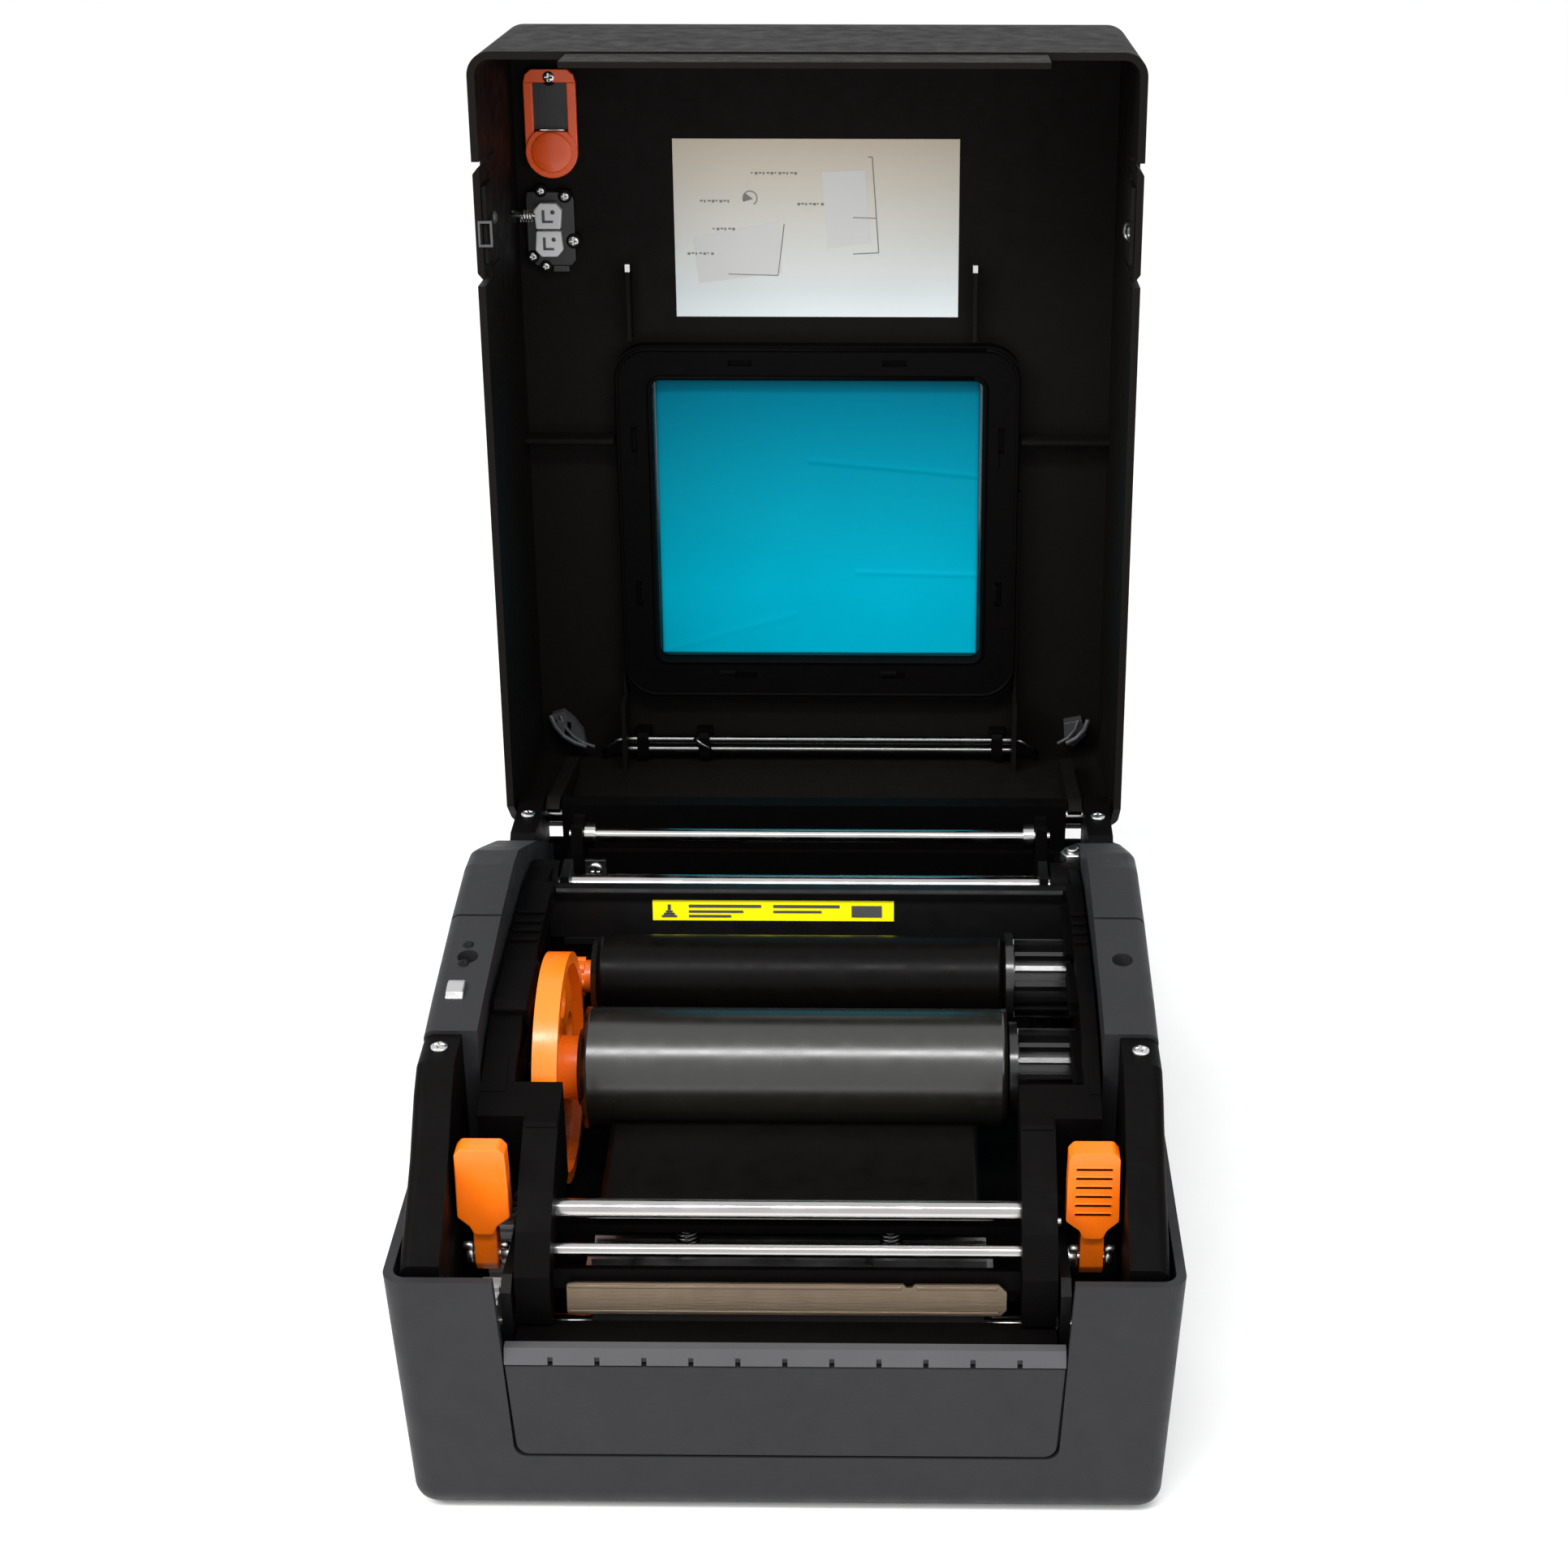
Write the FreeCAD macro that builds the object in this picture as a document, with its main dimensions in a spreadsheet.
import FreeCAD, Part
import os
import Sketcher

# Four-inch desktop label printer with its lid standing open.
# Millimetres, +Z up, +Y to the back.  The origin is on the table under the middle of the casing.
# The lid and everything on it are drawn shut, then swung open about the lid hinge.

DIMENSIONS = {
    "case_half": 113.0,          # half width of the casing and lid at the joint line
    "case_half_low": 109.0,      # half width of the casing at its foot
    "case_front": -142.5,
    "case_back": 142.5,
    "case_floor": 0.0,
    "foot_recess": 1.5,          # hollow under the casing, inside its standing edge
    "case_rim": 82.0,
    "case_wall": 2.6,
    "case_corner": 6.0,
    "case_foot_radius": 8.0,
    "back_rim": 76.5,            # lowered rear edge that leaves room for the lid
    "lid_rim": 82.6,
    "lid_top": 171.0,
    "lid_wall": 2.6,
    "lid_corner": 8.0,
    "lid_edge_radius": 3.0,
    "hinge_back": 133.5,
    "hinge_up": 90.5,
    "hinge_pin_radius": 3.0,
    "lid_open": 94.0,            # degrees between shut and open
    "pin_play": 0.05,
    "foot_radius": 9.0,
    "foot_across": 84.0,
    "foot_along": 116.0,
    "cover_low": 21.5,
    "cover_top": 58.6,
    "cover_half_low": 77.9,
    "cover_half_top": 79.9,
    "cover_thick": 3.0,
    "notch_play": 0.7,
    "lip_low": 53.3,
    "lip_pitch": 13.34,
    "lip_mark": 1.4,
    "block_in": 97.0,            # black side blocks
    "block_out": 108.5,
    "shoulder_in": 92.5,         # grey shoulder covers behind them
    "shoulder_out": 108.5,
    "chassis_in": 78.5,
    "chassis_out": 81.5,
    "arm_in": 67.5,              # front arms of the print module
    "arm_out": 77.7,
    "house_out": 91.5,
    "pivot_back": 40.0,
    "pivot_up": 110.8,
    "pivot_radius": 3.5,
    "pivot_half": 90.0,
    "takeup_back": -42.0,
    "takeup_up": 90.0,
    "takeup_roll": 19.0,
    "supply_back": 0.5,
    "supply_up": 98.0,
    "supply_roll": 14.0,
    "roll_half": 65.5,
    "spool_shaft": 4.0,
    "wheel_radius": 36.0,
    "platen_front": -115.0,
    "platen_up": 47.5,
    "platen_radius": 8.0,
    "platen_half": 57.0,
    "platen_shaft": 3.0,
    "lever_pivot_front": -107.0,
    "lever_pivot_up": 66.5,
    "lever_pin": 2.0,
    "spindle_back": 85.0,
    "spindle_up": 106.5,
    "spindle_radius": 2.4,
    "spindle_half": 79.0,
    "window_half": 62.5,
    "window_front": -14.0,
    "window_rear": 97.0,
    "window_frame": 14.5,
    "window_frame_corner": 13.0,
    "tear_half": 63.3,
    "motor_back": -47.0,
    "motor_up": 29.0,
    "idler_back": -82.0,
    "idler_up": 40.5,
    "rocker_back": 136.7,
    "rocker_up": 32.5,
}

doc = FreeCAD.newDocument("label_printer")
dims = doc.addObject("Spreadsheet::Sheet", "dims")
for row, (alias, value) in enumerate(DIMENSIONS.items(), start=1):
    dims.set(f"A{row}", alias)
    dims.set(f"B{row}", str(value))
    dims.setAlias(f"B{row}", alias)
doc.recompute()

SIDES = {"left": -1, "right": 1}
nodes = {}


def d(name, offset=0.0, sign=1):
    """Expression for one driving dimension, mirrored by sign, plus an offset."""
    return f"{sign} * dims.{name} + ({offset})"


def bind(obj, prop, value):
    """Bind a property to an expression, or to a plain value written as one."""
    obj.setExpression(prop, str(value))


def put(obj, spot):
    for axis, value in zip("xyz", spot):
        bind(obj, f"Placement.Base.{axis}", value)


def sub(name, obj):
    """Register a finished sub-part under its own label."""
    obj.Label = name
    nodes[name] = obj
    return obj


def box(name, x, y, z):
    made = doc.addObject("Part::Box", name)
    for prop, (low, high) in zip(("Length", "Width", "Height"), (x, y, z)):
        bind(made, prop, f"({high}) - ({low})")
    put(made, (x[0], y[0], z[0]))
    return made


def rod(name, axis, span, spot, radius):
    """Cylinder along X, Y or Z; spot gives the two coordinates across the axis."""
    made = doc.addObject("Part::Cylinder", name)
    bind(made, "Radius", radius)
    bind(made, "Height", f"({span[1]}) - ({span[0]})")
    turn = {"x": ((0, 1, 0), 90), "y": ((1, 0, 0), -90), "z": ((0, 0, 1), 0)}[axis]
    made.Placement = FreeCAD.Placement(FreeCAD.Vector(), FreeCAD.Rotation(FreeCAD.Vector(*turn[0]), turn[1]))
    place = list(spot)
    place.insert("xyz".index(axis), span[0])
    put(made, place)
    return made


def cut(name, base, *tools):
    made = doc.addObject("Part::Cut", name)
    made.Base = base
    made.Tool = tools[0] if len(tools) == 1 else join(name + "_tools", *tools)
    return made


def join(name, *pieces):
    made = doc.addObject("Part::MultiFuse", name)
    made.Shapes = list(pieces)
    return made


def group(name, *pieces):
    """Separate identical solids that share one sub-part."""
    made = doc.addObject("Part::Compound", name)
    made.Links = list(pieces)
    return made


def profile(name, plane, points, span):
    """Closed polygon sketched on an origin plane and padded over the span along its normal."""
    body = doc.addObject("PartDesign::Body", name)
    sketch = body.newObject("Sketcher::SketchObject", name + "_sketch")
    role = {"x": "YZ_Plane", "y": "XZ_Plane", "z": "XY_Plane"}[plane]
    support = [f for f in body.Origin.OriginFeatures if f.Role == role][0]
    sketch.AttachmentSupport = [(support, "")]
    sketch.MapMode = "FlatFace"
    count = len(points)
    rough = [(dims.evalExpression(str(a)), dims.evalExpression(str(b))) for a, b in points]
    for i in range(count):
        here = FreeCAD.Vector(*rough[i], 0)
        there = FreeCAD.Vector(*rough[(i + 1) % count], 0)
        sketch.addGeometry(Part.LineSegment(here, there), False)
    for i in range(count):
        sketch.addConstraint(Sketcher.Constraint("Coincident", i, 2, (i + 1) % count, 1))
    for i, (a, b) in enumerate(points):
        for kind, value, size in (("DistanceX", a, rough[i][0]), ("DistanceY", b, rough[i][1])):
            index = sketch.addConstraint(Sketcher.Constraint(kind, -1, 1, i, 1, size))
            sketch.setExpression(f"Constraints[{index}]", str(value))
    pad = body.newObject("PartDesign::Pad", name + "_pad")
    pad.Profile = sketch
    bind(pad, "Length", f"({span[1]}) - ({span[0]})")
    start = span[1] if plane == "y" else span[0]
    bind(body, "Placement.Base." + plane, start)
    doc.recompute()
    return body


def round_edges(body, radius, chosen):
    """PartDesign fillet on the tip's edges for which chosen(edge) holds, in the body's own frame."""
    tip = body.Tip
    names = [f"Edge{i}" for i, edge in enumerate(tip.Shape.Edges, start=1) if chosen(edge)]
    fillet = body.newObject("PartDesign::Fillet", f"{body.Name}_round_{len(body.Group)}")
    fillet.Base = (tip, names)
    bind(fillet, "Radius", radius)
    body.Tip = fillet
    doc.recompute()
    return body


def along(edge, axis):
    """True when a straight edge runs along X, Y or Z, within a few degrees."""
    ends = edge.Vertexes
    if len(ends) != 2:
        return False
    run = ends[1].Point - ends[0].Point
    return run.Length > 0 and abs(getattr(run, axis)) > 0.98 * run.Length


def low(edge, axis):
    return getattr(edge.BoundBox, axis.upper() + "Min")


def high(edge, axis):
    return getattr(edge.BoundBox, axis.upper() + "Max")


def side_span(sign, inner, outer, inner_offset=0.0, outer_offset=0.0):
    """Span along X between two half widths, on the side given by sign."""
    near = d(inner, inner_offset, 1) if sign > 0 else f"-(dims.{inner} + ({inner_offset}))"
    far = d(outer, outer_offset, 1) if sign > 0 else f"-(dims.{outer} + ({outer_offset}))"
    return (near, far) if sign > 0 else (far, near)


def span_at(sign, inner, outer):
    """Span along X between two plain half widths."""
    return (sign * inner, sign * outer) if sign > 0 else (sign * outer, sign * inner)


# ---------------------------------------------------------------- lower casing and its covers

def casing_block(name, inset, floor, top):
    """Tapered block whose corners and foot are rounded; inset shrinks it for the hollow."""
    low_half = f"dims.case_half_low - {inset}"
    top_half = f"dims.case_half - {inset}"
    points = [(f"-({low_half})", floor), (low_half, floor), (top_half, top), (f"-({top_half})", top)]
    body = profile(name, "y", points, (f"dims.case_front + {inset}", f"dims.case_back - {inset}"))
    corner = f"dims.case_corner - {inset} * 0.8"
    round_edges(body, corner, lambda e: along(e, "z"))
    foot = dims.evalExpression(floor)
    round_edges(body, f"dims.case_foot_radius - {inset}", lambda e: high(e, "z") < foot + 0.01 and along(e, "y"))
    return body


def lower_casing():
    shell = cut("casing_shell", casing_block("casing_outer", 0, "dims.case_floor", "dims.case_rim"),
                casing_block("casing_inner", "dims.case_wall", "dims.case_floor + dims.foot_recess + dims.case_wall",
                             "dims.case_rim + 4"))
    notch_low = "dims.cover_half_low + dims.notch_play"
    notch_top = "dims.cover_half_top + dims.notch_play + 1.2"
    notch = profile("front_notch", "y", [
        (f"-({notch_low})", "dims.cover_low - dims.notch_play"),
        (notch_low, "dims.cover_low - dims.notch_play"),
        (notch_top, "dims.case_rim + 5"),
        (f"-({notch_top})", "dims.case_rim + 5")], ("dims.case_front - 5", "dims.case_front + 8"))
    round_edges(notch, 4, lambda e: along(e, "y") and high(e, "z") < 40)
    back_slope = profile("back_slope", "x", [
        (120, "dims.case_rim"), (140, "dims.back_rim"), (150, "dims.back_rim"), (150, 95), (120, 95)],
        (-120, 120))
    recess = box("foot_recess", (-96, 96), (-129, 129), (-1, "dims.foot_recess"))
    panel_hole = box("panel_hole", (-72, 72), (130, 150), (12, 58))
    vents = [box(f"casing_vent_{i}", (-52 + 8 * i, -48 + 8 * i), (20, 60), (-1, 10)) for i in range(13)]
    return sub("lower_casing", cut("lower_casing", shell, notch, back_slope, recess, panel_hole, *vents))


def rubber_feet():
    feet = []
    for side, sign in SIDES.items():
        for end, way in {"front": -1, "back": 1}.items():
            feet.append(rod(f"foot_{side}_{end}", "z", (0, "dims.foot_recess"),
                            (d("foot_across", 0, sign), d("foot_along", 0, way)), "dims.foot_radius"))
    return sub("rubber_feet", group("rubber_feet", *feet))


def front_cover():
    plate = profile("cover_plate", "y", [
        ("-dims.cover_half_low", "dims.cover_low"), ("dims.cover_half_low", "dims.cover_low"),
        ("dims.cover_half_top", "dims.cover_top"), ("-dims.cover_half_top", "dims.cover_top")],
        ("dims.case_front", "dims.case_front + dims.cover_thick"))
    round_edges(plate, 4, lambda e: along(e, "y") and high(e, "z") < 40)
    backing = box("cover_backing", (-84, 84), ("dims.case_front + dims.cover_thick",
                  "dims.case_front + dims.cover_thick + 1.6"), ("dims.cover_low - 5", "dims.cover_top - 4"))
    marks = []
    for i in range(11):
        middle = f"{i - 5} * dims.lip_pitch"
        marks.append(box(f"lip_mark_{i}", (f"{middle} - dims.lip_mark / 2", f"{middle} + dims.lip_mark / 2"),
                         ("dims.case_front - 1", "dims.case_front + 1.2"), (54.9, 57.1)))
    groove = box("lip_groove", (-90, 90), ("dims.case_front - 1", "dims.case_front + 0.5"),
                 ("dims.lip_low - 0.4", "dims.lip_low"))
    return sub("front_cover", cut("front_cover", join("cover_whole", plate, backing), groove, *marks))


def front_deck():
    """Black ledge behind the cover lip, over which the label comes out, and the plate that leads there."""
    ledge = box("deck_ledge", (-77.5, 77.5), ("dims.case_front + 4.8", -125.5), (53.5, 56.5))
    skirt = box("deck_skirt", (-77.5, 77.5), (-128, -125.5), (30, 53.5))
    path = box("path_plate", (-77.5, 77.5), (-104, 50), (49.5, 52))
    path_edge = box("path_edge", (-77.5, 77.5), (50, 55.5), (44, 52))
    return sub("label_path", group("label_path", join("front_deck", ledge, skirt),
                                   join("path_deck", path, path_edge)))


def side_block(side, sign):
    """Black block inside each front flank, with a pocket for the lid latch."""
    points = [(-137.6, 58), (-137.6, 84), (-128, 91), (-112, 103), (-99, 117), (-91, 122.5), (-77, 123), (-77, 58)]
    body = profile(f"block_{side}", "x", points, side_span(sign, "block_in", "block_out"))
    outer = 11.5 if sign > 0 else 0
    round_edges(body, 3.5, lambda e: low(e, "z") > 83.9 and abs(e.BoundBox.XMin - outer) < 0.01
                and abs(e.BoundBox.XMax - outer) < 0.01)
    pocket = box(f"latch_pocket_{side}", span_at(sign, 104.6, 112), (-108, -63), (80, 102.5))
    return sub(f"side_block_{side}", cut(f"side_block_{side}", body, pocket))


def shoulder_cover(side, sign):
    """Grey cover from the side block back to the lid hinge, hollow below."""
    points = [(-76.5, 58), (-76.5, 124), (-60, 127), (-20, 132.5), (8, 135), (20, 134), (30, 130),
              (60, 117), (97, 97), (97, 58)]
    body = profile(f"shoulder_{side}", "x", points, side_span(sign, "shoulder_in", "shoulder_out"))
    outer = 16 if sign > 0 else 0
    round_edges(body, 3.0, lambda e: low(e, "z") > 96.9 and abs(e.BoundBox.XMin - outer) < 0.01
                and abs(e.BoundBox.XMax - outer) < 0.01)
    hollow_front = box(f"shoulder_hollow_{side}", span_at(sign, 94.7, 104.2), (-74, 24), (50, 119))
    hollow_back = box(f"shoulder_rear_hollow_{side}", span_at(sign, 94.7, 106.3), (24, 94), (50, 94))
    seam = box(f"shoulder_seam_{side}", span_at(sign, 91, 110), (-21.5, -20.5), (130.2, 140))
    well = rod(f"screw_well_{side}", "z", (124, 140), (sign * 100, -42), 3.2)
    latch_room = box(f"shoulder_latch_room_{side}", span_at(sign, 106.4, 110), (-80, -63), (80, 102.5))
    return sub(f"shoulder_cover_{side}",
               cut(f"shoulder_cover_{side}", body, hollow_front, hollow_back, seam, well, latch_room))


def chassis_side(side, sign):
    """Upright plate that carries the platen, the lever pin and the print module's pivot."""
    points = [(-131, 8), (-131, 70), (-126, 73), (-116, 71.5), (-60, 67), (24, 67), (33.5, 100), (33.5, 117),
              (46.5, 117), (46.5, 100), (54, 67), (54, 8)]
    plate = profile(f"chassis_plate_{side}", "x", points, side_span(sign, "chassis_in", "chassis_out"))
    across = side_span(sign, "chassis_in", "chassis_out", -2, 2)
    bores = [rod(f"platen_bore_{side}", "x", across, ("dims.platen_front", "dims.platen_up"), 6),
             rod(f"pivot_bore_{side}", "x", across, ("dims.pivot_back", "dims.pivot_up"), "dims.pivot_radius"),
             rod(f"lever_bore_{side}", "x", across, ("dims.lever_pivot_front", "dims.lever_pivot_up"),
                 "dims.lever_pin"),
             rod(f"motor_clearance_{side}", "x", across, ("dims.motor_back", "dims.motor_up"), 5)]
    return sub(f"chassis_plate_{side}", cut(f"chassis_{side}", plate, *bores))


def media_bay():
    """Black tub under the label roll, open to the front, with two slotted posts for the spindle."""
    outer = box("bay_outer", (-91, 91), (56, 126), (12, 80))
    inner = box("bay_inner", (-88.5, 88.5), (50, 123.5), (14.5, 90))
    drain = box("bay_floor_slot", (-30, 30), (80, 100), (10, 16))
    tub = cut("bay_tub", outer, inner, drain)
    posts = []
    seats = []
    for side, sign in SIDES.items():
        posts.append(profile(f"bracket_{side}", "x", [(75, 14.5), (95, 14.5), (93, 98), (90.5, 112), (79.5, 112),
                                                      (77, 98)], span_at(sign, 79.4, 83.4)))
        posts.append(box(f"bracket_tie_{side}", span_at(sign, 83.4, 88.5), (79, 91), (60, 68)))
        seats.append(box(f"bracket_slot_{side}", span_at(sign, 78, 86), ("dims.spindle_back - 2.7", "dims.spindle_back + 2.7"),
                         ("dims.spindle_up", 120)))
        seats.append(rod(f"bracket_seat_{side}", "x", span_at(sign, 78, 86),
                         ("dims.spindle_back", "dims.spindle_up"), "dims.spindle_radius + dims.pin_play"))
    return sub("media_bay", cut("media_bay", join("bay_whole", tub, *posts), *seats))


def rear_parts():
    bridge = profile("bridge_body", "x", [(127, 70), (137.4, 70), (137.4, 94), (134, 97.5), (127, 97.5)], (-93, 93))
    posts = []
    bores = []
    for side, sign in SIDES.items():
        posts.append(profile(f"hinge_post_{side}", "x", [(99, 58), (137.4, 58), (137.4, 94), (134.5, 98), (103, 98),
                                                         (99, 94)], span_at(sign, 99.5, 108.5)))
        posts.append(box(f"hinge_tie_{side}", span_at(sign, 92, 101), (128, 137.4), (70, 78)))
        bores.append(rod(f"hinge_bore_{side}", "x", span_at(sign, 98, 110), ("dims.hinge_back", "dims.hinge_up"),
                         "dims.hinge_pin_radius"))
    sub("hinge_bridge", cut("hinge_bridge", join("bridge_whole", bridge, *posts), *bores))
    plate = box("panel_plate", (-76, 76), (137.4, 139.8), (9, 61.5))
    holes = [box("inlet_hole", (-66, -38), (130, 150), (22, 43)), box("usb_hole", (-20, -7), (130, 150), (24, 36)),
             box("network_hole", (2, 19), (130, 150), (23, 38)), box("switch_hole", (40, 54), (130, 150), (22, 43))]
    inlet = box("inlet_body", (-65.7, -38.3), (126.5, 141.5), (22.3, 42.7))
    well = box("inlet_well", (-62.5, -41.5), (129.5, 150), (25.5, 39.5))
    prongs = [box(f"inlet_prong_{i}", (x - 1, x + 1), (129, 138), (z - 2.5, z + 2.5))
              for i, (x, z) in enumerate(((-57, 30.5), (-52, 34.5), (-47, 30.5)))]
    sub("power_inlet", join("power_inlet", cut("inlet_socket", inlet, well), *prongs))
    usb = cut("usb_shell", box("usb_body", (-19.7, -7.3), (126.8, 140.6), (24.3, 35.7)),
              box("usb_well", (-17.9, -9.1), (129, 150), (26, 34)))
    tongue = box("usb_tongue", (-16.5, -10.5), (128.5, 139), (28.5, 31.5))
    network = cut("network_port", box("network_body", (2.3, 18.7), (126.8, 140.6), (23.3, 37.7)),
                  box("network_well", (4.2, 16.8), (129, 150), (26, 35.5)))
    sub("data_ports", group("data_ports", join("usb_port", usb, tongue), network))
    frame = cut("switch_frame", box("switch_body", (40.3, 53.7), (126.5, 141.2), (22.3, 42.7)),
                box("switch_well", (42, 52), (130, 150), (24.2, 40.8)))
    sub("rear_panel", group("rear_panel", cut("panel_sheet", plate, *holes), frame))
    rocker = profile("rocker_body", "x", [(134.5, 26.5), (134.5, 38.5), (142.2, 39.6), (140.2, 32.5), (140.4, 25.4)],
                     (42.6, 51.4))
    sub("power_rocker", cut("power_rocker", rocker, rod("rocker_bore", "x", (41, 53), ("dims.rocker_back", "dims.rocker_up"), 1.25)))


def electronics():
    board = box("board_plate", (-70, 66), (58, 121), (7.0, 8.6))
    chips = [box(f"board_chip_{i}", (x, x + w), (y, y + w), (8.6, 10.8))
             for i, (x, y, w) in enumerate(((-52, 76, 14), (-28, 96, 10), (4, 72, 16), (34, 90, 9)))]
    sub("main_board", join("main_board", board, *chips))
    can = box("motor_can", (-74, -36), (-66, -28), (10, 48))
    boss = rod("motor_boss", "x", (-76, -74), ("dims.motor_back", "dims.motor_up"), 9)
    bore = rod("motor_bore", "x", (-78, -40), ("dims.motor_back", "dims.motor_up"), 2.56)
    sub("stepper_motor", cut("stepper_motor", join("motor_whole", can, boss), bore))
    sub("label_sensor", join("label_sensor", box("sensor_body", (-12, 12), (-100, -88), (52, 54.4)),
                             box("sensor_eye", (-3, 3), (-97, -91), (54.4, 55.2))))


def media_spindle():
    """Slim label spindle with a collar inside each bracket."""
    spot = ("dims.spindle_back", "dims.spindle_up")
    shaft = rod("spindle_shaft", "x", ("-dims.spindle_half - 5.5", "dims.spindle_half + 5.5"), spot, "dims.spindle_radius")
    collars = [rod(f"spindle_collar_{side}", "x", span_at(sign, 75.2, 78.9), spot, 4.4)
               for side, sign in SIDES.items()]
    sub("label_spindle", join("label_spindle", shaft, *collars))


# ---------------------------------------------------------------- drive: motor, gears, platen

def toothed(name, x, y, z, radius, teeth, bore, *fixed):
    """Spur wheel whose teeth stand on a rim, bored through, or moulded on to the fixed pieces."""
    blank = rod(f"{name}_blank", "x", x, (y, z), radius - 1.5)
    shape_teeth = []
    for i in range(teeth):
        tooth = box(f"{name}_tooth_{i}", x, (-0.9, 0.9), (0, radius))
        angle = 360.0 * i / teeth
        tooth.Placement = FreeCAD.Placement(FreeCAD.Vector(), FreeCAD.Rotation(FreeCAD.Vector(1, 0, 0), angle))
        put(tooth, (x[0], f"({y}) - 0.9 * cos({angle})", f"({z}) - 0.9 * sin({angle})"))
        shape_teeth.append(tooth)
    if fixed:
        return sub(name, join(name, blank, *shape_teeth, *fixed))
    hole = rod(f"{name}_bore", "x", (x[0] - 1, x[1] + 1), (y, z), bore)
    return sub(name, cut(name, join(f"{name}_whole", blank, *shape_teeth), hole))


def drive_train():
    rubber = rod("platen_rubber", "x", ("-dims.platen_half", "dims.platen_half"),
                 ("dims.platen_front", "dims.platen_up"), "dims.platen_radius")
    through = rod("platen_through", "x", (-60, 60), ("dims.platen_front", "dims.platen_up"), "dims.platen_shaft")
    sub("platen_roller", cut("platen_roller", rubber, through))
    sub("platen_shaft", group("platen_shaft", rod("platen_rod", "x", (-91, 84), ("dims.platen_front",
        "dims.platen_up"), "dims.platen_shaft")))
    bushes = []
    for side, sign in SIDES.items():
        ring = rod(f"bush_ring_{side}", "x", span_at(sign, 78.5, 81.5), ("dims.platen_front", "dims.platen_up"), 6)
        flange = rod(f"bush_flange_{side}", "x", span_at(sign, 76.5, 78.5), ("dims.platen_front", "dims.platen_up"), 7.5)
        bore = rod(f"bush_bore_{side}", "x", span_at(sign, 70, 90), ("dims.platen_front", "dims.platen_up"),
                   "dims.platen_shaft + dims.pin_play")
        bushes.append(cut(f"platen_bush_{side}", join(f"bush_whole_{side}", ring, flange), bore))
    sub("platen_bushes", group("platen_bushes", *bushes))
    toothed("platen_gear", (-90.5, -84.5), "dims.platen_front", "dims.platen_up", 13.0, 22, "dims.platen_shaft")
    toothed("idler_gear", (-90.5, -84.5), "dims.idler_back", "dims.idler_up", 20.3, 36, 3.05)
    toothed("motor_pinion", (-90.5, -84.5), "dims.motor_back", "dims.motor_up", 16.2, 28, 0,
            rod("motor_shaft", "x", (-92, -44), ("dims.motor_back", "dims.motor_up"), 2.5))


# ---------------------------------------------------------------- print module

def module_frame(side, sign):
    """Front arm, connecting wall, spool housing and pivot eye of one side of the print module."""
    arm = profile(f"arm_{side}", "x", [(-129, 57.8), (-129, 74), (-121, 84), (-112, 92), (-94, 104), (-86, 106),
                                       (-84, 76), (-104, 70), (-118, 66), (-120, 57.8)],
                  side_span(sign, "arm_in", "arm_out"))
    wall = profile(f"arm_wall_{side}", "x", [(-92, 78), (-92, 104.5), (-86, 107), (-80.5, 109), (-80.5, 76), (-88, 76)],
                   side_span(sign, "arm_in", "house_out"))
    house = profile(f"house_{side}", "x", [(-84, 74), (-84, 108), (-66, 116), (-46, 120), (-20, 121.5), (22, 121.5),
                                           (46, 117), (49, 111), (46, 105), (30, 100), (24, 86), (-4, 76), (-40, 68.5)],
                    span_at(sign, 84.2 if sign < 0 else 88.2, 91.5))
    lip = profile(f"house_lip_{side}", "x", [(-80.5, 109), (-66, 116), (-46, 120), (-20, 121.5), (22, 121.5),
                                             (22, 118.5), (-20, 118.5), (-46, 117), (-64, 113), (-80.5, 106)],
                  span_at(sign, 81.9 if sign < 0 else 86.6, 91.5))
    eye = rod(f"pivot_eye_{side}", "x", span_at(sign, 82.3, 91.5), ("dims.pivot_back", "dims.pivot_up"), 8)
    across = span_at(sign, 60, 95)
    cuts = [rod(f"eye_bore_{side}", "x", across, ("dims.pivot_back", "dims.pivot_up"),
                "dims.pivot_radius + dims.pin_play"),
            rod(f"takeup_bore_{side}", "x", span_at(sign, 80, 95), ("dims.takeup_back", "dims.takeup_up"),
                "dims.spool_shaft + dims.pin_play"),
            rod(f"supply_bore_{side}", "x", span_at(sign, 80, 95), ("dims.supply_back", "dims.supply_up"),
                "dims.spool_shaft + dims.pin_play"),
            rod(f"front_rod_bore_{side}", "x", across, (-107, 82.5), 3.0),
            rod(f"low_rod_bore_{side}", "x", across, (-116, 74.5), 2.0)]
    return sub(f"module_frame_{side}",
               cut(f"module_frame_{side}", join(f"frame_whole_{side}", arm, wall, house, lip, eye), *cuts))


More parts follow.
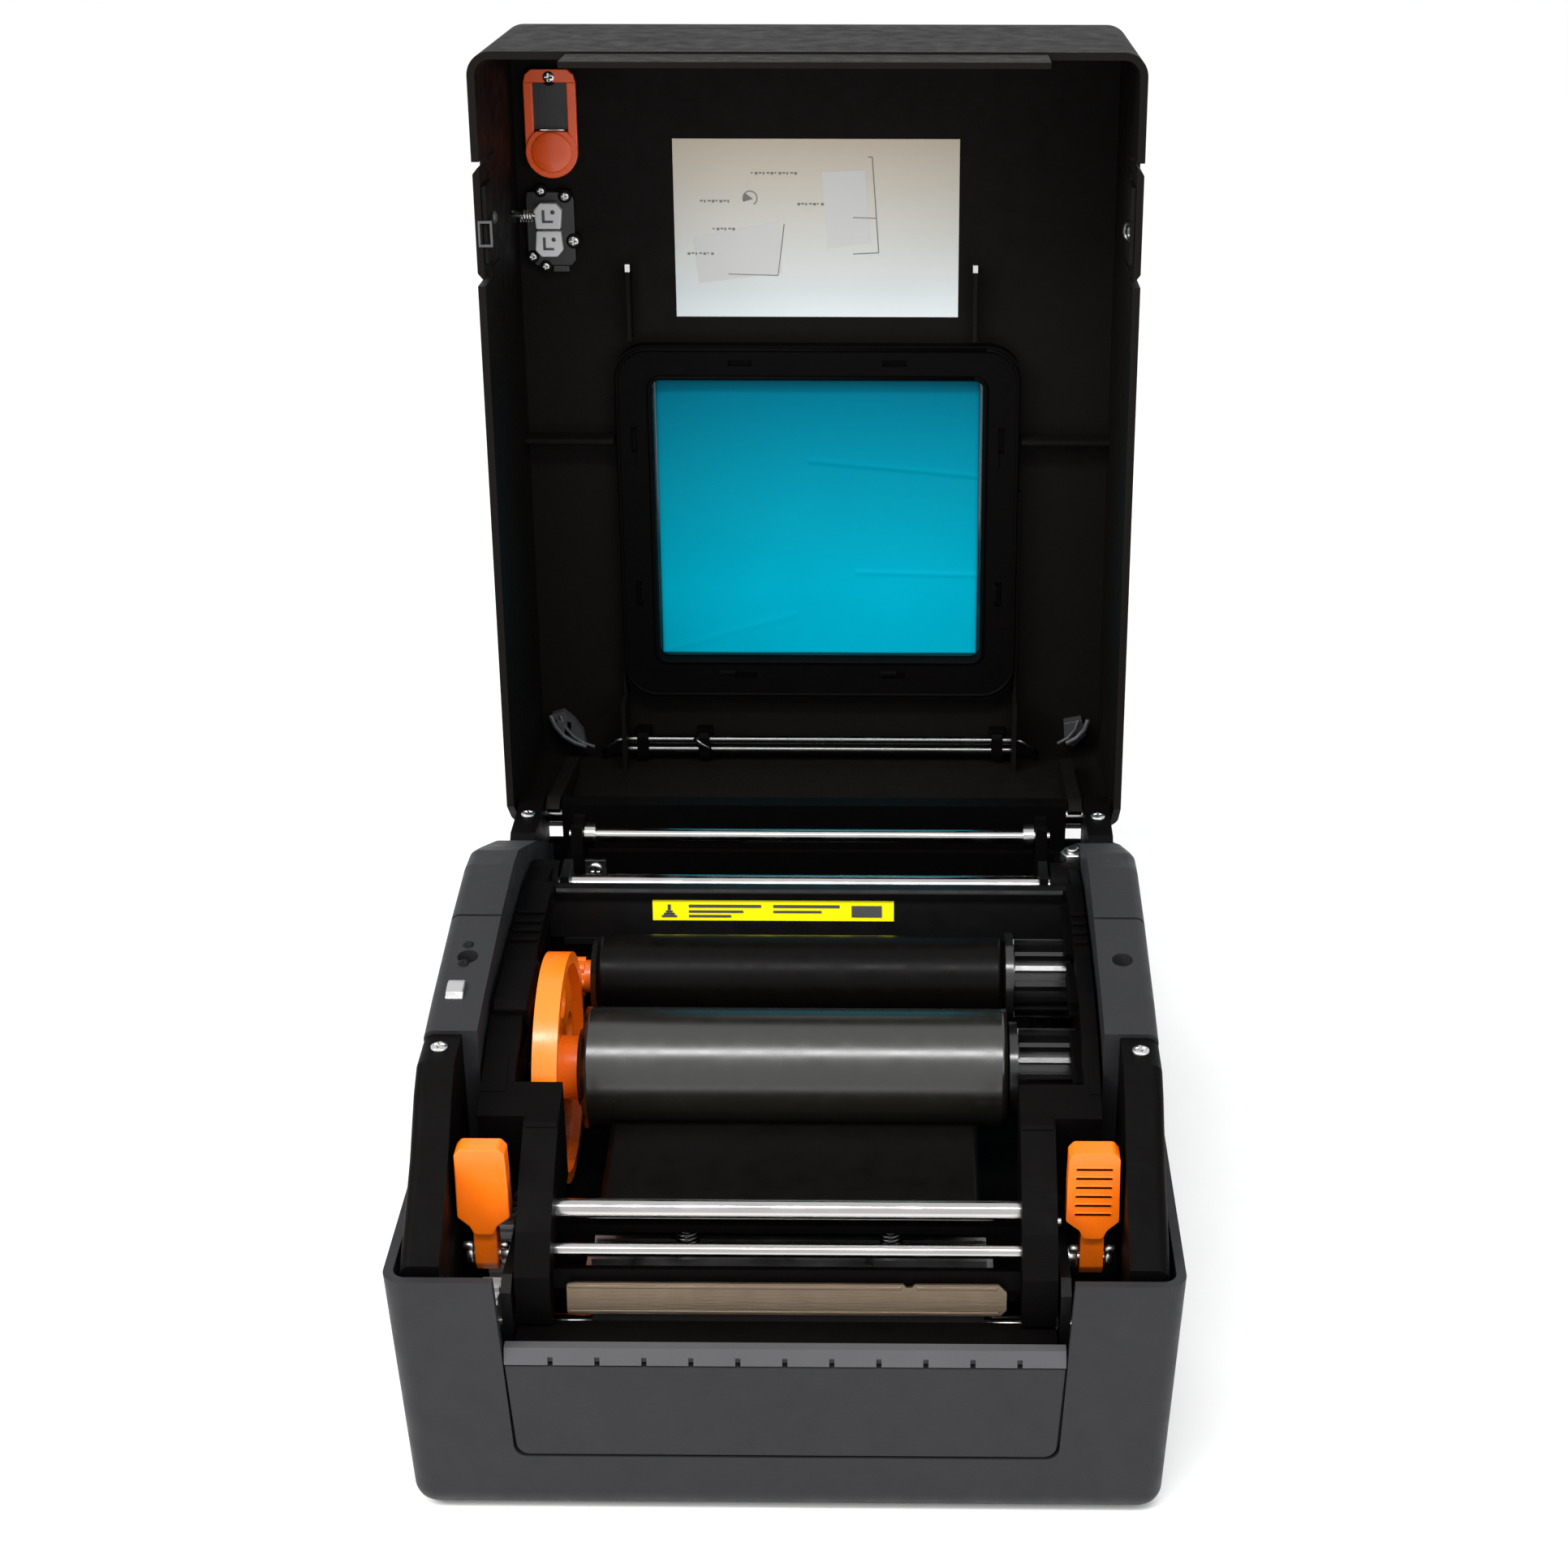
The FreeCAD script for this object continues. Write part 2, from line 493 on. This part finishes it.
def module_parts():
    bar = profile("bar_body", "x", [(24, 99.5), (27.5, 99.5), (30.5, 116), (27, 116.5)], (-84.2, 88.2))
    flange = profile("bar_flange", "x", [(27, 113.5), (31.2, 113.2), (31.2, 116), (27, 116.5)], (-84.2, 88.2))
    sub("cross_bar", join("cross_bar", bar, flange))
    sub("caution_label", profile("caution_label", "x", [(24.9, 105.6), (26.1, 112.9), (25.85, 112.95), (24.65, 105.65)],
                                 (-50, 30)))
    sub("tear_bar", profile("tear_bar", "x", [(-127.5, 59.8), (-125.8, 59.0), (-123.8, 69.2), (-125.5, 69.8)],
                            ("-dims.tear_half", "dims.tear_half")))
    beams = [profile("head_beam", "x", [(-123, 66), (-119, 59.4), (-117.5, 62), (-112, 62), (-112, 66),
                                                (-119, 69), (-122, 72)], (-67.4, 67.4))]
    sub("heat_sink", join("heat_sink", box("sink_plate", (-60, 60), (-117, -96), (59, 61.8)),
                          *[box(f"sink_fin_{i}", (-58, 58), (-109 + 3.4 * i, -107.4 + 3.4 * i), (61.8, 66))
                            for i in range(4)]))
    sub("print_head", join("print_head", box("head_ceramic", (-56, 56), (-119, -108), (55.9, 59)),
                           box("head_plug", (-14, 14), (-105, -98), (55.5, 59))))
    springs = []
    for i, x in enumerate((-30, 30)):
        tube = cut(f"spring_{i}", rod(f"spring_outer_{i}", "z", (66, 74.9), (x, -102), 3.5),
                   rod(f"spring_hollow_{i}", "z", (60, 80), (x, -102), 2.6))
        springs.append(tube)
    sub("head_springs", group("head_springs", *springs))
    beams.append(profile("spring_beam", "x", [(-108, 74.9), (-96, 74.9), (-96, 77), (-102, 78.5), (-108, 77)],
                         (-67.4, 67.4)))
    sub("head_beams", group("head_beams", *beams))
    web = [(-107.0, 79.2), (-106.6, 78.9), (-61.5, 82.2), (-61.6, 82.7)]
    sub("ribbon_web", profile("ribbon_web", "x", web, (-56, 56)))
    hooks = [rod(f"lever_hook_{side}", "x", span_at(sign, 77.7, 79.8), (-100.5, 74.2), 1.6)
             for side, sign in SIDES.items()]
    sub("module_rods", group("module_rods", rod("front_rod", "x", (-77.5, 77.5), (-107, 82.5), 3.0),
                             rod("low_rod", "x", (-77.5, 77.5), (-116, 74.5), 2.0), *hooks))


def lever(side, sign):
    """Orange release lever: ribbed thumb pad, neck and pivot foot."""
    head = profile(f"lever_head_{side}", "x", [(-112.3, 81), (-108.2, 78.5), (-104.8, 81), (-104.8, 103),
                                               (-107, 106), (-111, 106), (-112.3, 104)], span_at(sign, 80.2, 96))
    neck = profile(f"lever_neck_{side}", "x", [(-110, 61.8), (-104.5, 61.8), (-103, 65), (-103.6, 70), (-105.2, 84),
                                               (-110, 84), (-110.8, 70), (-111, 65)], span_at(sign, 84.7, 92))
    bore = rod(f"lever_pin_hole_{side}", "x", span_at(sign, 80, 96), ("dims.lever_pivot_front", "dims.lever_pivot_up"),
               "dims.lever_pin + dims.pin_play")
    ribs = [box(f"grip_groove_{side}_{i}", span_at(sign, 82.2, 94), (-114, -111.7), (84.5 + 3.1 * i, 86.0 + 3.1 * i))
            for i in range(6)]
    return sub(f"release_lever_{side}", cut(f"release_lever_{side}", join(f"lever_whole_{side}", head, neck), bore,
                                            *ribs))


def steel_pins():
    """Every fixed pin and shaft of the base: lid hinge, module pivot, levers, idler and rocker."""
    pins = [rod("pivot_rod", "x", ("-dims.pivot_half - 2", "dims.pivot_half + 2"),
                ("dims.pivot_back", "dims.pivot_up"), "dims.pivot_radius"),
            rod("idler_stud", "x", (-92, -81.5), ("dims.idler_back", "dims.idler_up"), 3.0),
            rod("rocker_pin", "x", (42, 52), ("dims.rocker_back", "dims.rocker_up"), 1.2)]
    for side, sign in SIDES.items():
        pins.append(rod(f"hinge_pin_{side}", "x", span_at(sign, 93.4, 108.4), ("dims.hinge_back", "dims.hinge_up"),
                        "dims.hinge_pin_radius"))
        pins.append(rod(f"lever_pin_{side}", "x", span_at(sign, 78.7, 94),
                        ("dims.lever_pivot_front", "dims.lever_pivot_up"), "dims.lever_pin"))
    return sub("steel_pins", group("steel_pins", *pins))


def spool(name, back, up, roll, wheel):
    """One ribbon spool: wound roll on a shaft, with a splined hub at the right."""
    spot = (f"dims.{back}", f"dims.{up}")
    wound = rod(f"{name}_wound", "x", ("-dims.roll_half", "dims.roll_half"), spot, f"dims.{roll}")
    sub(f"{name}_ribbon_roll", cut(f"{name}_ribbon_roll", wound, rod(f"{name}_core_hole", "x", (-70, 70), spot,
                                                                     "dims.spool_shaft")))
    shaft = rod(f"{name}_rod", "x", (-91, 91), spot, "dims.spool_shaft")
    drum = rod(f"{name}_drum", "x", (68.5, 87), spot, 10.5)
    splines = []
    for i in range(16):
        angle = 22.5 * i
        spline = box(f"{name}_spline_{i}", (69, 87), (-0.8, 0.8), (0, 13))
        spline.Placement = FreeCAD.Placement(FreeCAD.Vector(), FreeCAD.Rotation(FreeCAD.Vector(1, 0, 0), angle))
        put(spline, (69, f"({spot[0]}) - 0.8 * cos({angle})", f"({spot[1]}) - 0.8 * sin({angle})"))
        splines.append(spline)
    flange = rod(f"{name}_flange", "x", (66, 68.5), spot, 15)
    sub(f"{name}_spindle", join(f"{name}_spindle", shaft, drum, flange, *splines))
    if wheel:
        disc = rod("wheel_disc", "x", (-76.3, -73.3), spot, "dims.wheel_radius")
        rim = cut("wheel_rim", rod("wheel_rim_outer", "x", (-77.8, -70.3), spot, "dims.wheel_radius"),
                  rod("wheel_rim_inner", "x", (-90, -60), spot, "dims.wheel_radius - 3.5"))
        hub = rod("wheel_hub", "x", (-79.5, -66.2), spot, 10)
        holes = [rod(f"wheel_hole_{i}", "x", (-90, -60), (f"({spot[0]}) + 21.5 * cos({60 * i})",
                     f"({spot[1]}) + 21.5 * sin({60 * i})"), 6.5) for i in range(6)]
        bore = rod("wheel_bore", "x", (-90, -60), spot, "dims.spool_shaft")
        sub("ribbon_hand_wheel", cut("ribbon_hand_wheel", join("wheel_whole", disc, rim, hub), bore, *holes))
    else:
        lobes = [rod(f"knob_lobe_{i}", "x", (-79.5, -70), (f"({spot[0]}) + 4.6 * cos({60 * i})",
                     f"({spot[1]}) + 4.6 * sin({60 * i})"), 1.8) for i in range(6)]
        knob = join("knob_whole", rod("knob_body", "x", (-79.5, -66.2), spot, 5.4), *lobes)
        sub("supply_knob", cut("supply_knob", knob, rod("knob_bore", "x", (-90, -60), spot, "dims.spool_shaft")))


# ---------------------------------------------------------------- lid

def open_lid(name, obj):
    """Swing a lid piece, drawn shut, to the open position about the lid hinge."""
    obj.Placement = FreeCAD.Placement(FreeCAD.Vector(), FreeCAD.Rotation(FreeCAD.Vector(-1, 0, 0), 90))
    bind(obj, "Placement.Rotation.Angle", "dims.lid_open")
    turn = "dims.lid_open"
    bind(obj, "Placement.Base.y",
         f"dims.hinge_back - dims.hinge_back * cos({turn}) - dims.hinge_up * sin({turn})")
    bind(obj, "Placement.Base.z",
         f"dims.hinge_up + dims.hinge_back * sin({turn}) - dims.hinge_up * cos({turn})")
    return sub(name, obj)


def lid_block(name, inset, floor, top):
    half = f"dims.case_half - {inset}"
    points = [(f"-({half})", f"dims.case_front + {inset}"), (half, f"dims.case_front + {inset}"),
              (half, f"dims.case_back - {inset}"), (f"-({half})", f"dims.case_back - {inset}")]
    body = profile(name, "z", points, (floor, top))
    round_edges(body, f"dims.lid_corner - {inset}", lambda e: along(e, "z"))
    return body


def lid_shell():
    outer = lid_block("lid_outer", 0, "dims.lid_rim", "dims.lid_top")
    height = dims.evalExpression("dims.lid_top - dims.lid_rim")
    round_edges(outer, "dims.lid_edge_radius", lambda e: low(e, "z") > height - 0.01)
    inner = lid_block("lid_inner", "dims.lid_wall", "dims.lid_rim - 5", "dims.lid_top - dims.lid_wall")
    hollow = cut("lid_hollow", outer, inner)
    tongue = box("lid_tongue", (-79.6, 79.6), ("dims.case_front + 0.6", "dims.case_front + 2.6"), (59.6, 88))
    ribs = [box("lid_step_left", (-110.6, -77.2), (8.3, 9.9), (158, 168.6)),
            box("lid_step_right", (77.2, 110.6), (8.3, 9.9), (158, 168.6)),
            box("lid_rib_left", (-70.6, -69.2), (-56, -28.8), (160, 168.6)),
            box("lid_rib_right", (58.2, 59.6), (-56, -28.8), (160, 168.6)),
            box("lid_rail_left", (-77.2, -75.6), (112, 139.9), (150, 168.6)),
            box("lid_rail_right", (75.6, 77.2), (112, 139.9), (150, 168.6))]
    knuckles = []
    for side, sign in SIDES.items():
        eye = rod(f"lid_eye_{side}", "x", span_at(sign, 94, 99), ("dims.hinge_back", "dims.hinge_up"), 7)
        web = profile(f"lid_web_{side}", "x", [(127, 90), (134, 84), (140.4, 102), (140.4, 150), (134, 150)],
                      span_at(sign, 94, 99))
        knuckles += [eye, web]
    whole = join("lid_whole", hollow, tongue, *ribs, *knuckles)
    pane = "dims.window_half - 2"
    cuts = [box("window_hole", (f"-({pane})", pane), ("dims.window_front + 2", "dims.window_rear - 2"), (150, 180)),
            rod("button_hole", "z", (160, 180), (-96.5, -98), 8.2),
            box("status_hole", (-101.5, -95.9), (-80.5, -59), (160, 180)),
            profile("lid_heel", "x", [(127.4, 70), (150, 70), (150, 100), (142.6, 100), (127.4, 82.6)], (-120, 120)),
            box("rear_wall_trim", (-93.5, 93.5), (136, 150), (70, 100))]
    for side, sign in SIDES.items():
        cuts.append(rod(f"lid_eye_bore_{side}", "x", span_at(sign, 90, 99.4), ("dims.hinge_back", "dims.hinge_up"),
                        "dims.hinge_pin_radius + dims.pin_play"))
        cuts.append(box(f"latch_opening_{side}", span_at(sign, 106, 116), (-106.4, -64.6), (80, 100.8)))
    open_lid("lid_shell", cut("lid_shell", whole, *cuts))


def lid_parts():
    outer = "dims.window_half + dims.window_frame"
    ring = profile("frame_plate", "z", [(f"-({outer})", "dims.window_front - 13"), (outer, "dims.window_front - 13"),
                                        (outer, "dims.window_rear + 16"), (f"-({outer})", "dims.window_rear + 16")],
                   (160.5, 166.4))
    round_edges(ring, "dims.window_frame_corner", lambda e: along(e, "z"))
    hole = profile("frame_hole", "z", [("-dims.window_half", "dims.window_front"), ("dims.window_half",
                   "dims.window_front"), ("dims.window_half", "dims.window_rear"), ("-dims.window_half",
                   "dims.window_rear")], (150, 180))
    round_edges(hole, 3.5, lambda e: along(e, "z"))
    slots = []
    for sign in (-1, 1):
        for y in (-20.5, 103.5):
            slots.append(box(f"frame_slot_{sign + 1}_{round(y + 21)}", (29 * sign - 4.5, 29 * sign + 4.5),
                             (y - 1.2, y + 1.2), (158, 162.5)))
        for y in (9, 70):
            slots.append(box(f"frame_side_slot_{sign + 1}_{y}", (69.5 * sign - 1.2, 69.5 * sign + 1.2),
                             (y - 5, y + 5), (158, 162.5)))
    rib_gaps = [box("frame_gap_left", (-77.4, -75.4), (-20, 120), (150, 170)),
                box("frame_gap_right", (75.4, 77.4), (-20, 120), (150, 170))]
    open_lid("window_frame", cut("window_frame", ring, hole, *slots, *rib_gaps))
    pane = box("pane_plate", ("-dims.window_half - 3", "dims.window_half + 3"),
               ("dims.window_front - 3", "dims.window_rear + 3"), (166.4, 168.4))
    raised = box("pane_raised", ("-dims.window_half + 2.2", "dims.window_half - 2.2"),
                 ("dims.window_front + 2.2", "dims.window_rear - 2.2"), (168.4, 170.6))
    open_lid("lid_window", join("lid_window", pane, raised))
    open_lid("window_film", group("window_film", box("film_sheet", ("-dims.window_half + 1.1",
             "dims.window_half - 1.1"), ("dims.window_front + 1.1", "dims.window_rear - 1.1"), (165.9, 166.4))))
    open_lid("guide_label", group("guide_label", box("guide_sheet", (-52.7, 52.7), (-102, -36.5), (168.0, 168.4))))
    lights = []
    for i, y in enumerate((-75.1, -64.4)):
        face = profile(f"light_face_{i}", "z", [(-104, y - 3.6), (-102.5, y - 5.1), (-93.4, y - 5.1),
                                                (-93.4, y + 5.1), (-102.5, y + 5.1), (-104, y + 3.6)], (163, 166.6))
        stem = box(f"light_stem_{i}", (-101.2, -96.2), (y - 4, y + 4), (168.2, 170.8))
        lights += [face, stem]
    board = box("status_board_plate", (-107.5, -89), (-83.5, -56), (166.6, 168.2))
    open_lid("status_lights", group("status_lights", board, *lights))
    plate = profile("button_plate", "z", [(-106, -127), (-87, -127), (-87, -96), (-89.5, -90.5), (-93.5, -88.2),
                                          (-99.5, -88.2), (-103.5, -90.5), (-106, -96)], (164.6, 167.4))
    gap = box("button_gap", (-103, -90), (-121.5, -108), (160, 170))
    cap = rod("button_cap", "z", (167.4, 172.6), (-96.5, -98), 7.8)
    trimmed = cut("button_frame", plate, gap, rod("button_screw_hole", "z", (160, 170), (-96.5, -124.2), 1.7))
    open_lid("feed_button", join("feed_button", trimmed, cap))
    for side, sign in SIDES.items():
        tab = box(f"latch_tab_{side}", span_at(sign, 110.4, 113), (-105.6, -65.4), (83, 100))
        pad = box(f"latch_pad_{side}", span_at(sign, 108.9, 110.4), (-98, -72), (84, 99.4))
        hole = box(f"latch_window_{side}", span_at(sign, 108, 110.4), (-86, -79), (87, 94))
        open_lid(f"lid_latch_{side}", cut(f"lid_latch_{side}", join(f"latch_whole_{side}", tab, pad), hole))
    rods = [rod("lid_rod_upper", "x", (-75.5, 75.5), (130.5, 160.5), 1.6),
            rod("lid_rod_lower", "x", (-75.5, 75.5), (134.6, 160.5), 1.6)]
    open_lid("lid_torsion_rods", group("lid_torsion_rods", *rods))
    link = profile("link_arc", "z", [(-106, 121), (-101.5, 119.5), (-97.5, 123), (-94, 128), (-93, 133.5),
                                     (-97.5, 134), (-99, 130), (-102, 126)], (162, 166))
    open_lid("lid_stay", cut("lid_stay", link, box("link_slot", (-100.2, -98.6), (124, 128), (160, 170))))
    screws = []
    for i, (x, y, top) in enumerate(((-96.5, -124.2, 168.0), (-104.6, -86.6, 168.4), (-91.6, -86.0, 168.4),
                                     (-86.6, -66, 168.4), (-103.6, -53.2, 168.4), (100.5, 129, 168.4))):
        head = rod(f"lid_screw_head_{i}", "z", (162.8, 164.4), (x, y), 2.4)
        shank = rod(f"lid_screw_shank_{i}", "z", (164.4, top), (x, y), 1.4)
        screws.append(join(f"lid_screw_{i}", head, shank))
    open_lid("lid_screws", group("lid_screws", *screws))


def base_screws():
    made = []
    spots = [(sign * 100, -42, 121.6) for sign in (-1, 1)]
    for i, (x, y, z) in enumerate(spots):
        made.append(rod(f"cover_screw_{i}", "z", (z + 2.5, z + 4.5), (x, y), 2.9))
    return sub("casing_screws", group("casing_screws", *made))


lower_casing()
rubber_feet()
front_cover()
front_deck()
for side, sign in SIDES.items():
    side_block(side, sign)
    shoulder_cover(side, sign)
    chassis_side(side, sign)
media_bay()
rear_parts()
electronics()
media_spindle()
drive_train()
for side, sign in SIDES.items():
    module_frame(side, sign)
    lever(side, sign)
module_parts()
steel_pins()
spool("takeup", "takeup_back", "takeup_up", "takeup_roll", True)
spool("supply", "supply_back", "supply_up", "supply_roll", False)
lid_shell()
lid_parts()
base_screws()

doc.recompute()
for obj in doc.Objects:
    if {"Invalid", "Error"} & set(obj.State):
        raise RuntimeError(f"{obj.Name} failed: {obj.State}")
os.makedirs("parts", exist_ok=True)
for name, obj in nodes.items():
    shape = obj.Shape
    if shape.isNull() or not shape.isValid() or not shape.Solids:
        raise RuntimeError(f"{name} has no valid solid")
    shape.exportStep(f"parts/{name}.step")
print(len(nodes), "sub-parts")
